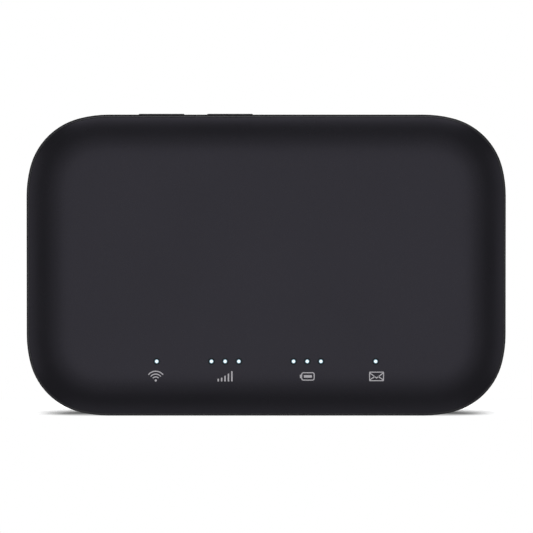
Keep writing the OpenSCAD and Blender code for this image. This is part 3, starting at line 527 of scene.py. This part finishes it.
def floor_material():
    """White paper with the soft shadow, partly painted and partly cast by the lamps, seen from above and by
    nothing but the camera.
    """
    mat = bpy.data.materials.new("floor_paper")
    mat.use_nodes = True
    tree = mat.node_tree
    tree.nodes.clear()
    tone = shadow_tone(tree)
    diffuse = tree.nodes.new("ShaderNodeBsdfDiffuse")
    lift = tree.nodes.new("ShaderNodeEmission")
    set_values(lift, Strength=SHADOW_LIFT)
    shaded = tree.nodes.new("ShaderNodeAddShader")
    for i, shader in enumerate((diffuse, lift)):
        tree.links.new(tone, shader.inputs["Color"])
        tree.links.new(shader.outputs[0], shaded.inputs[i])
    place = tree.nodes.new("ShaderNodeSeparateXYZ")
    tree.links.new(tree.nodes.new("ShaderNodeTexCoord").outputs["Object"], place.inputs[0])
    near = remap(tree, place.outputs["Y"], 0, 1, *SHADOW_START)
    far = remap(tree, place.outputs["Y"], 1, 0, *SHADOW_END)
    white = tree.nodes.new("ShaderNodeEmission")
    paper = mix_shaders(tree, math_node(tree, "MULTIPLY", near, far), white, shaded)
    below = tree.nodes.new("ShaderNodeNewGeometry").outputs["Backfacing"]
    camera_ray = tree.nodes.new("ShaderNodeLightPath").outputs["Is Camera Ray"]
    seen = math_node(tree, "MULTIPLY", camera_ray, math_node(tree, "SUBTRACT", 1.0, below))
    clear = tree.nodes.new("ShaderNodeBsdfTransparent")
    out = tree.nodes.new("ShaderNodeOutputMaterial")
    tree.links.new(mix_shaders(tree, seen, clear, paper).outputs[0], out.inputs["Surface"])
    return mat


def make_floor():
    bm = bmesh.new()
    turns = spaced(0, 2 * math.pi, FLOOR_STEPS)[:-1]
    rings = [add_loop(bm, [(*on_circle(0, 0, r, a), -FLOOR_DROP) for a in turns]) for r in FLOOR_RINGS]
    skin(bm, *rings)
    bm.faces.new(rings[0])
    obj = mesh_object("floor", bm, floor_material())
    if obj.data.polygons[0].normal.z < 0:
        obj.data.flip_normals()


make_floor()

# ---------------------------------------------------------------- front shell
shell_mat = diamond_shell("shell_soft_plastic", srgb(8, 8, 9), 0.26, 0.112, (0.84, 0.8, 1.0))
back_mat = diamond_shell("back_soft_plastic", srgb(9, 9, 10), 0.28, 0.112, (0.86, 0.84, 1.0))
trim_mat = diamond_shell("trim_black_plastic", srgb(12, 12, 13), 0.5, 0.08, (1.0, 1.0, 1.0))

PRINT = 0.015 * MM  # the signs are this thick, on a face set back by as much
WINDOW_R = 0.46 * MM
STEP_INSET, STEP_DEPTH = 0.8 * MM, 0.55 * MM  # of the step inside the shell's edge
SHELL_EASE, SHELL_ROUND = 0.2 * MM, 0.2 * MM


def front_shell():
    bm = bmesh.new()
    depth = FRONT_DEPTH - PRINT
    outer = [(STEP_INSET, STEP_DEPTH), (STEP_INSET, 0)] + crown_stations(depth, SHELL_EASE, SHELL_ROUND)
    start = math.asin((STEP_DEPTH - depth + crown_r(depth)) / (crown_r(depth) - FRONT_WALL))
    under = inner_stations(depth, FRONT_WALL, start)
    loops = [outline_loop(bm, inset, FRONT_SEAM - h) for inset, h in outer]
    inner = [outline_loop(bm, inset, FRONT_SEAM - h) for inset, h in under]
    skin(bm, *loops)
    skin(bm, loops[0], *inner)
    windows = [[circle_loop(bm, x, FRONT + PRINT + y, LIGHT_Z, WINDOW_R) for x in LIGHT_X]
               for y in (0, FRONT_WALL)]
    fill(bm, loops[-1], *windows[0])
    fill(bm, inner[-1], *windows[1])
    for outside, inside in zip(*windows):
        skin(bm, outside, inside)
    obj = piece("front_shell", bm, "housing", shell_mat)
    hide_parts("front_cover")


front_shell()

# ---------------------------------------------------------------- back shell
LIP_OUT, LIP_IN, LIP_H = 1.6 * MM, 2.4 * MM, 0.85 * MM
COVER_EASE, SOFT_EDGE = 0.05 * MM, 0.12 * MM
HOOK_W, HOOK_T, HOOK_SINK = 3 * MM, 0.8 * MM, 1.5 * MM
NIB_H, NIB, HOOK_SLOPE = 0.5 * MM, 0.04 * MM, 0.3 * MM
RIB_IN, RIB_PITCH, RIB_ROWS = 7.65 * MM, 7 * MM, (-2, -1, 0, 1, 2)
RIB_HALF_W, RIB_HALF_T, RIB_BACK, RIB_FRONT = 1 * MM, 0.4 * MM, 0.9 * MM, 2.0 * MM
TIP_DEPTH, TIP_SPREAD, BESIDE_EDGE = 0.01 * MM, 5 * MM, 4 * MM


def hook_places():
    """Place and turn of each hook, from the tips of the solid's hooks.

    Beside the upper and lower edge a hook faces straight out, and elsewhere away from the middle.
    """
    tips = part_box("back_cover")[0].y
    groups = []
    for v in verts("back_cover"):
        if v.y < tips + TIP_DEPTH:
            near = next((g for g in groups if (g[0] - v).length < TIP_SPREAD), None)
            if near:
                near.append(v)
            else:
                groups.append([v])
    places = []
    for g in groups:
        mid = sum(g, Vector()) / len(g)
        up = mid.z - MID_Z
        if HALF_H - abs(up) < BESIDE_EDGE:
            turn = 0 if up > 0 else math.pi
        else:
            turn = math.atan2(mid.x, up)
        places.append((mid.x, mid.z, turn))
    return places


def hook(bm, matrix):
    """Snap hook with a sloped tip; its local z points out of the body."""
    tip, root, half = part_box("back_cover")[0].y, BACK - HOOK_SINK, HOOK_T / 2
    profile = [(-half, root), (half, root), (half, tip + NIB_H), (half + NIB, tip + NIB_H - NIB),
               (half + NIB, tip + HOOK_SLOPE), (half - HOOK_SLOPE, tip),
               (SOFT_EDGE - half, tip), (-half, tip + SOFT_EDGE)]
    ends = [add_loop(bm, [(x, y, z) for z, y in profile]) for x in (-HOOK_W / 2, HOOK_W / 2)]
    skin(bm, *ends)
    for end in ends:
        bm.faces.new(end)
    bmesh.ops.transform(bm, matrix=matrix, verts=[v for end in ends for v in end])


def back_shell():
    bm = bmesh.new()
    outer = [(LIP_OUT, 0)] + crown_stations(BACK_DEPTH, COVER_EASE, SOFT_EDGE)
    start = math.acos((CROWN_INSET - LIP_IN) / (crown_r(BACK_DEPTH) - COVER_WALL))
    under = inner_stations(BACK_DEPTH, COVER_WALL, start)[::-1]
    under += [(LIP_IN, SOFT_EDGE - LIP_H), (LIP_IN - SOFT_EDGE, -LIP_H),
              (LIP_OUT + SOFT_EDGE, -LIP_H), (LIP_OUT, SOFT_EDGE - LIP_H)]
    loops = [outline_loop(bm, inset, BACK_SEAM + h) for inset, h in outer]
    inner = [outline_loop(bm, inset, BACK_SEAM + h) for inset, h in under]
    skin(bm, *loops)
    skin(bm, *inner, loops[0])
    fill(bm, loops[-1])
    fill(bm, inner[0])
    for x, z, turn in hook_places():
        hook(bm, Matrix.Translation((x, 0, z)) @ Matrix.Rotation(turn, 4, "Y"))
    for side in (-1, 1):
        for row in RIB_ROWS:
            x, z = side * (HALF_W - RIB_IN), MID_Z + row * RIB_PITCH
            bevelled_box(bm, (x - RIB_HALF_W, BACK - RIB_FRONT, z - RIB_HALF_T),
                         (x + RIB_HALF_W, BACK - RIB_BACK, z + RIB_HALF_T), SOFT_EDGE)
    obj = piece("back_shell", bm, "back_cover", back_mat)
    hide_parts("back_cover")


back_shell()

# ---------------------------------------------------------------- lights in the face
CORE_R, RIM_R, SEAT_R = 0.34 * MM, 0.45 * MM, 0.8 * MM
CORE_SINK, RIM_SINK, SEAT_SINK = 0.010 * MM, 0.007 * MM, 0.009 * MM
LENS_BACK, SEAT_T = 0.2 * MM, 0.006 * MM


def emission_material(name, glow, strength, base):
    mat, tree, bsdf, coord = new_material(name)
    tone = ramp(tree, noise(tree, coord, 2500, 1), [(0.2, scaled(glow, 0.97)), (0.8, glow)])
    tree.links.new(tone, bsdf.inputs["Emission Color"])
    set_values(bsdf, Emission_Strength=strength, Base_Color=(*base, 1), Roughness=0.3)
    return mat


def light_lenses():
    """Glowing core, dim rim and dark seat of each light, as discs one round the other."""
    core = emission_material("light_core", (0.8, 0.95, 1.0), 0.93, (0.1, 0.12, 0.13))
    rim = emission_material("light_rim", (0.14, 0.36, 0.5), 0.62, (0.01, 0.02, 0.03))
    seat = plastic("light_seat", (0.001, 0.003, 0.005), 0.3, 0.055, grain=3000, depth=0.001 * MM)
    for name, material, r0, r1, sink in (
        ("light_lenses", core, 0.0, CORE_R, CORE_SINK),
        ("light_lens_rims", rim, CORE_R, RIM_R, RIM_SINK),
        ("light_lens_seats", seat, RIM_R, SEAT_R, SEAT_SINK),
    ):
        bm = bmesh.new()
        front = FRONT + sink
        back = FRONT + LENS_BACK if r1 < WINDOW_R else front + SEAT_T
        for x in LIGHT_X:
            outer = [circle_loop(bm, x, y, LIGHT_Z, r1) for y in (front, back)]
            skin(bm, *outer)
            if r0:
                inner = [circle_loop(bm, x, y, LIGHT_Z, r0) for y in (front, back)]
                skin(bm, *inner)
                skin(bm, outer[0], inner[0])
                skin(bm, outer[1], inner[1])
            else:
                bm.faces.new(outer[0])
                bm.faces.new(outer[1])
        piece(name, bm, "housing", material)


light_lenses()

# ---------------------------------------------------------------- printed signs under the lights
SIGN_Z = LIGHT_Z - 3.35 * MM
DOT_STEPS, FAN_STEPS, ROUND_STEPS = 23, 18, 5


def slab(bm, outline, *holes):
    """Thin print in the shape of an outline of points (x, z), with its holes."""
    sides = []
    for y in (FRONT, FRONT + PRINT):
        sides.append([add_loop(bm, [(x, y, z) for x, z in points]) for points in (outline, *holes)])
        fill(bm, *sides[-1])
    for front, back in zip(*sides):
        skin(bm, front, back)


def arc(cx, cz, r, a0, a1, steps):
    return [on_circle(cx, cz, r, a) for a in spaced(a0, a1, steps)]


def rect(cx, cz, w, h):
    return [(cx + sx * w / 2, cz + sz * h / 2) for sx, sz in ((-1, -1), (1, -1), (1, 1), (-1, 1))]


def round_rect(cx, cz, w, h, r):
    points = []
    for sx, sz, start in CORNERS:
        x, z = cx + sx * (w / 2 - r), cz + sz * (h / 2 - r)
        points += arc(x, z, r, start, start + RIGHT_ANGLE, ROUND_STEPS)
    return points


def wireless_sign(bm):
    """Three arcs of a fan over a dot."""
    cx, cz = LIGHT_X[0] - 0.22 * MM, SIGN_Z - 0.9 * MM
    half_line, half_fan = 0.115 * MM, math.radians(52)
    left, right = RIGHT_ANGLE + half_fan, RIGHT_ANGLE - half_fan
    slab(bm, arc(cx, cz, 0.26 * MM, 0, math.radians(345), DOT_STEPS))
    for r in (0.8 * MM, 1.42 * MM, 2.06 * MM):
        outer = arc(cx, cz, r + half_line, right, left, FAN_STEPS)
        inner = arc(cx, cz, r - half_line, left, right, FAN_STEPS)
        slab(bm, outer + inner)


def signal_sign(bm):
    """Five rising bars."""
    cx, pitch, width = (LIGHT_X[1] + LIGHT_X[3]) / 2 - 0.02 * MM, 0.76 * MM, 0.32 * MM
    foot = SIGN_Z - 1.12 * MM
    for i, h in enumerate((0.6 * MM, 0.84 * MM, 1.27 * MM, 1.72 * MM, 2.28 * MM), -2):
        slab(bm, rect(cx + i * pitch, foot + h / 2, width, h))


def battery_sign(bm):
    """Rounded cell with its terminal on the left and its charge inside."""
    cx, w, h, line = (LIGHT_X[4] + LIGHT_X[6]) / 2 + 0.15 * MM, 3.0 * MM, 1.86 * MM, 0.22 * MM
    slab(bm, round_rect(cx, SIGN_Z, w, h, 0.5 * MM),
         round_rect(cx, SIGN_Z, w - 2 * line, h - 2 * line, 0.3 * MM))
    slab(bm, round_rect(cx - 1.66 * MM, SIGN_Z, 0.26 * MM, 0.78 * MM, 0.1 * MM))
    slab(bm, rect(cx, SIGN_Z, 1.8 * MM, 0.56 * MM))


def message_sign(bm):
    """Envelope with its flap and the folds under it."""
    cx, w, h, line = LIGHT_X[7] + 0.2 * MM, 3.3 * MM, 2.1 * MM, 0.2 * MM
    left, right = cx - w / 2 + line, cx + w / 2 - line
    bottom, top = SIGN_Z - h / 2 + line, SIGN_Z + h / 2 - line
    slab(bm, round_rect(cx, SIGN_Z, w, h, 0.2 * MM), rect(cx, SIGN_Z, w - 2 * line, h - 2 * line))
    thick, dip = 0.26 * MM, SIGN_Z - 0.22 * MM
    slab(bm, [(left, top), (cx, dip), (right, top), (right, top - thick),
              (cx, SIGN_Z - 0.5 * MM), (left, top - thick)])
    for side, x in ((-1, left), (1, right)):
        near, high_end = cx + side * 0.36 * MM, SIGN_Z - 0.16 * MM
        fold = [(x, bottom), (near, high_end), (near, high_end + thick), (x, bottom + thick)]
        slab(bm, fold if side > 0 else fold[::-1])


def signs():
    ink = plastic("sign_ink", srgb(150, 148, 152), 0.5, 0.3, grain=5000, depth=0.001 * MM)
    for name, draw in (("wireless", wireless_sign), ("signal", signal_sign),
                       ("battery", battery_sign), ("message", message_sign)):
        bm = bmesh.new()
        draw(bm)
        piece(f"sign_{name}", bm, "housing", ink)


signs()

# ---------------------------------------------------------------- keys
KEY_W, KEY_T, KEY_SOFT = 10.3 * MM, 2.6 * MM, 0.25 * MM
KEY_END_STEPS, KEY_EDGE_STEPS = 10, 5
FLANGE_T, FLANGE_RISE = 0.8 * MM, 0.3 * MM
POST_HALF_W, POST_HALF_T, POST_LAP, POST_SOFT = 1.2 * MM, 0.8 * MM, 0.1 * MM, 0.08 * MM


def pill_loop(bm, x, y, z, w, t):
    points = []
    for side, start in ((1, -RIGHT_ANGLE), (-1, RIGHT_ANGLE)):
        for a in spaced(start, start + math.pi, KEY_END_STEPS):
            points.append((*on_circle(x + side * (w - t) / 2, y, t / 2, a), z))
    return add_loop(bm, points)


def key_piece(key):
    """Key cap with softened edges on its flange, with the post that presses the switch."""
    low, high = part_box(key)
    mid = centre(key)
    flange_low = low.z + FLANGE_RISE
    flange_top = flange_low + FLANGE_T
    stations = [(0, flange_top)]
    for a in spaced(0, RIGHT_ANGLE, KEY_EDGE_STEPS):
        stations.append((KEY_SOFT * (1 - math.cos(a)), high.z - KEY_SOFT * (1 - math.sin(a))))
    bm = bmesh.new()
    loops = [pill_loop(bm, mid.x, mid.y, z, KEY_W - 2 * inset, KEY_T - 2 * inset) for inset, z in stations]
    skin(bm, *loops)
    bm.faces.new(loops[0])
    bm.faces.new(loops[-1])
    bevelled_box(bm, (low.x, low.y, flange_low), (high.x, high.y, flange_top), SOFT_EDGE)
    y = centre(key.replace("key", "plunger")).y
    bevelled_box(bm, (mid.x - POST_HALF_W, y - POST_HALF_T, low.z),
                 (mid.x + POST_HALF_W, y + POST_HALF_T, flange_low + POST_LAP), POST_SOFT)
    obj = piece(f"{key}_cap", bm, key, key_mat)
    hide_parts(key)


key_mat = diamond_shell("key_soft_plastic", srgb(9, 9, 10), 0.3, 0.112, (0.86, 0.84, 1.0))
key_piece("power_key")
key_piece("pairing_key")

# ---------------------------------------------------------------- battery
CELL_R, CELL_SOFT = 3 * MM, 0.55 * MM
CELL_STEPS, CELL_EDGE_STEPS = 8, 6
CAP_GAP = 0.02 * MM  # the cap ends this far inside its solid


def battery_part(name, piece_name, upper, material):
    """One end of the rounded cell: its own corners are round and the joint is flat."""
    low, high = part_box(name)
    if upper:
        high = high - Vector((0, 0, CAP_GAP))
    points = []
    for sx, sz, start in CORNERS:
        x = (high if sx > 0 else low).x
        z = (high if sz > 0 else low).z
        if (sz > 0) == upper:
            for a in spaced(start, start + RIGHT_ANGLE, CELL_STEPS):
                corner = on_circle(x - sx * CELL_R, z - sz * CELL_R, CELL_R, a)
                points.append((*corner, math.cos(a), math.sin(a)))
        else:
            points.append((x, z, sx, 0))
    turns = spaced(0, RIGHT_ANGLE, CELL_EDGE_STEPS)
    edge = [(CELL_SOFT * (1 - math.sin(a)), CELL_SOFT * (1 - math.cos(a))) for a in turns]
    stations = [(inset, low.y + y) for inset, y in edge]
    stations += [(inset, high.y - y) for inset, y in reversed(edge)]
    bm = bmesh.new()
    loops = [add_loop(bm, [(x - inset * nx, y, z - inset * nz) for x, z, nx, nz in points])
             for inset, y in stations]
    skin(bm, *loops)
    bm.faces.new(loops[0])
    bm.faces.new(loops[-1])
    obj = piece(piece_name, bm, "battery", material)
    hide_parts(name)


wrap_mat = plastic("battery_wrap", srgb(52, 53, 58), 0.42, 0.4, grain=1500, depth=0.003 * MM, vary=0.05)
cap_mat = plastic("battery_cap_plastic", srgb(26, 26, 28), 0.5, 0.4)
battery_part("battery_cell", "battery_wrapped_cell", False, wrap_mat)
battery_part("battery_cap", "battery_moulded_cap", True, cap_mat)


# ---------------------------------------------------------------- finishes of the CAD nodes
def face_plane(tree, coord):
    """Coordinates turned so that a flat texture lies in the plane of the face."""
    turn = tree.nodes.new("ShaderNodeMapping")
    turn.inputs["Rotation"].default_value = (RIGHT_ANGLE, 0, 0)
    tree.links.new(coord, turn.inputs["Vector"])
    return turn.outputs[0]


def board_material():
    """Green mask over copper: fine tracks in rows, cloudy colour and a soft gloss."""
    mat, tree, bsdf, coord = new_material("board_mask")
    tracks = tree.nodes.new("ShaderNodeTexBrick")
    tree.links.new(face_plane(tree, coord), tracks.inputs["Vector"])
    set_values(tracks, Scale=420.0, Mortar_Size=0.06, Mortar_Smooth=0.3, Bias=0.0)
    set_values(tracks, Brick_Width=0.9, Row_Height=0.22)
    mask = ramp(tree, tracks.outputs["Fac"], [(0.2, (0.008, 0.075, 0.035)), (0.8, (0.02, 0.15, 0.07))])
    clouds = ramp(tree, noise(tree, coord, 90, 2), [(0.3, (0.8, 0.8, 0.8)), (0.7, (1, 1, 1))])
    mix = tree.nodes.new("ShaderNodeMix")
    mix.data_type = "RGBA"
    mix.blend_type = "MULTIPLY"
    set_values(mix, Factor=0.5)
    tree.links.new(mask, mix.inputs["A"])
    tree.links.new(clouds, mix.inputs["B"])
    tree.links.new(mix.outputs["Result"], bsdf.inputs["Base Color"])
    bump(tree, bsdf, tracks.outputs["Fac"], 0.01 * MM)
    set_values(bsdf, Roughness=0.32, Coat_Weight=0.4, Coat_Roughness=0.15)
    return mat


def foam_material():
    mat, tree, bsdf, coord = new_material("foam_black")
    cells = tree.nodes.new("ShaderNodeTexVoronoi")
    set_values(cells, Scale=2400)
    tree.links.new(coord, cells.inputs["Vector"])
    # Painted shade in the pores: the colour is darker at the middle of each cell, where the bump sinks
    # lowest.
    tone = ramp(tree, cells.outputs["Distance"], [(0.0, (0.012, 0.012, 0.013)), (0.6, (0.05, 0.05, 0.052))])
    tree.links.new(tone, bsdf.inputs["Base Color"])
    bump(tree, bsdf, cells.outputs["Distance"], 0.05 * MM)
    set_values(bsdf, Roughness=0.95, Specular_IOR_Level=0.2)
    return mat


def led_material():
    mat, tree, bsdf, coord = new_material("led_package")
    tone = ramp(tree, noise(tree, coord, 900, 1), [(0.35, (0.85, 0.83, 0.7)), (0.65, (0.95, 0.93, 0.82))])
    tree.links.new(tone, bsdf.inputs["Base Color"])
    set_values(bsdf, Roughness=0.4, Emission_Color=(0.55, 0.85, 1.0, 1), Emission_Strength=0.4)
    return mat


# The finish of each material slot.
FINISHES = {
    "black_plastic": plastic("inner_black_plastic", srgb(24, 24, 26), 0.5, 0.4, grain=1800, depth=0.006 * MM),
    "foam": foam_material(),
    "gold": metal("gold_plate", (0.95, 0.68, 0.3), 0.22, brushed=False, vary=0.05),
    "circuit_board": board_material(),
    "led": led_material(),
    "clear_plastic": plastic("light_guide_acrylic", (0.78, 0.86, 0.9), 0.12, 0.5, grain=900,
                             depth=0.001 * MM, vary=0.03, Transmission_Weight=0.8),
    "steel": metal("sheet_steel", (0.62, 0.63, 0.65), 0.3),
    "screw_steel": metal("screw_steel_black", (0.3, 0.3, 0.31), 0.35, brushed=False),
    "chip": plastic("chip_epoxy", srgb(40, 40, 43), 0.5, 0.4, grain=5200, depth=0.005 * MM, vary=0.12),
    "ceramic": plastic("capacitor_ceramic", (0.42, 0.29, 0.17), 0.45, 0.5, grain=3000, vary=0.1),
    "thermal_pad": plastic("thermal_pad_silicone", (0.35, 0.5, 0.56), 0.8, 0.3, grain=1600, depth=0.02 * MM),
    "graphite": metal("graphite_foil", (0.1, 0.1, 0.11), 0.5, brushed=False, vary=0.2),
    "card": plastic("card_plastic", (0.82, 0.82, 0.8), 0.42, 0.5, grain=1200, depth=0.002 * MM, vary=0.02),
    "key": key_mat,
    "white_plastic": plastic("plunger_plastic", (0.75, 0.74, 0.7), 0.45, 0.5, grain=2000,
                             depth=0.003 * MM, vary=0.03),
}


def dress_nodes():
    slots = {part["node"]: part["material_slot"] for part in frame["record"]["subparts"]}
    for name, obj in nodes.items():
        material = trim_mat if name == "rear_housing" else FINISHES.get(slots[name])
        if material:
            obj.data.materials.clear()
            obj.data.materials.append(material)


dress_nodes()
